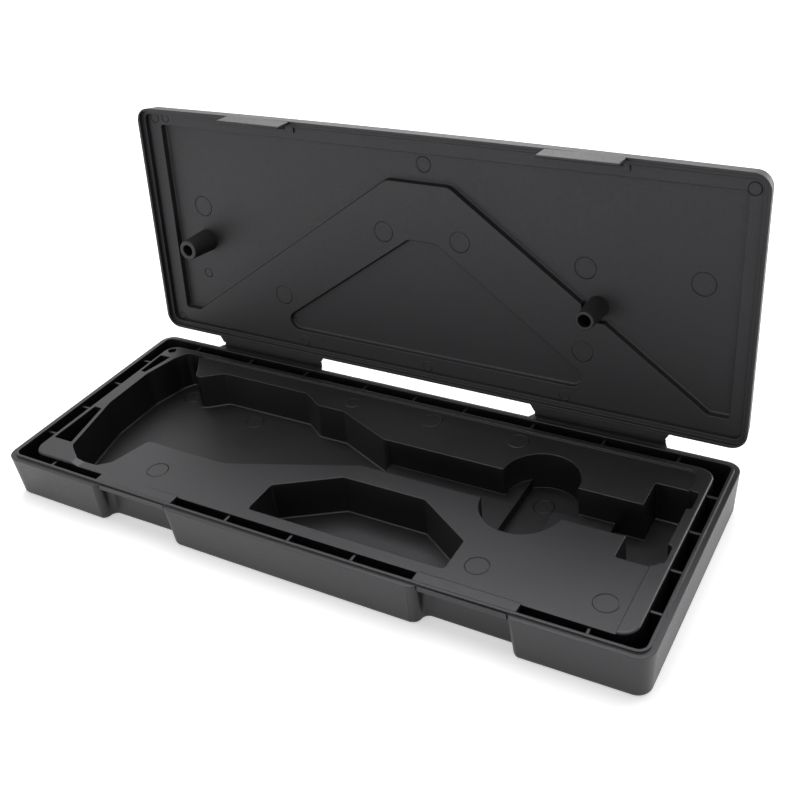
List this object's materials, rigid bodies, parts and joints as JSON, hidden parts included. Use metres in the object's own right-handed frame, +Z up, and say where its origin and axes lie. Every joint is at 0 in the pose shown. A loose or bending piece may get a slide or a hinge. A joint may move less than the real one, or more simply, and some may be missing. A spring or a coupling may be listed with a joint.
{
  "type": "caliper case",
  "caption": "Low moulded case for a caliper: pocketed tray in a shallow base, lid on strip hinges with hold-down posts, sprung catch tabs along the front.",
  "frame": {"origin": "middle of the underside of the base", "axes": "+X along the case, +Y towards the hinges, +Z up; the lid is drawn standing open"},
  "size_m": [0.2636, 0.1212, 0.1244],
  "materials": {
    "moulded_plastic": "fine matt moulded texture, near black"
  },
  "bodies": {
    "base": {"base_shell": "moulded_plastic", "caliper_tray": "moulded_plastic", "moat_ribs_rear": "moulded_plastic", "moat_ribs_front": "moulded_plastic", "moat_ribs_left": "moulded_plastic", "moat_ribs_right": "moulded_plastic", "tray_bridge_left": "moulded_plastic", "tray_bridge_right": "moulded_plastic", "catch_ledge_left": "moulded_plastic", "catch_ledge_right": "moulded_plastic", "base_hinge_plate_left": "moulded_plastic", "base_hinge_plate_right": "moulded_plastic", "hinge_film_left": "moulded_plastic", "hinge_film_right": "moulded_plastic"},
    "lid": {"lid_shell": "moulded_plastic", "lid_relief_panel": "moulded_plastic", "hold_down_post_left": "moulded_plastic", "hold_down_post_right": "moulded_plastic", "lid_hinge_plate_left": "moulded_plastic", "lid_hinge_plate_right": "moulded_plastic"},
    "catch_left": {"catch_tab_left": "moulded_plastic"},
    "catch_right": {"catch_tab_right": "moulded_plastic"}
  },
  "joints": [
    {"name": "lid_hinge", "type": "hinge", "parent": "base", "child": "lid", "pos_m": [0, 0.05375, 0.01898], "axis": [-1, 0, 0], "range_deg": [-95, 85]},
    {"name": "catch_flex_left", "type": "hinge", "parent": "lid", "child": "catch_left", "pos_m": [-0.06785, 0.06198, 0.12375], "axis": [-1, 0, 0], "range_deg": [0, 8], "stiffness_Nm_per_rad": 0.25},
    {"name": "catch_flex_right", "type": "hinge", "parent": "lid", "child": "catch_right", "pos_m": [0.06905, 0.06198, 0.12375], "axis": [-1, 0, 0], "range_deg": [0, 8], "stiffness_Nm_per_rad": 0.25}
  ]
}
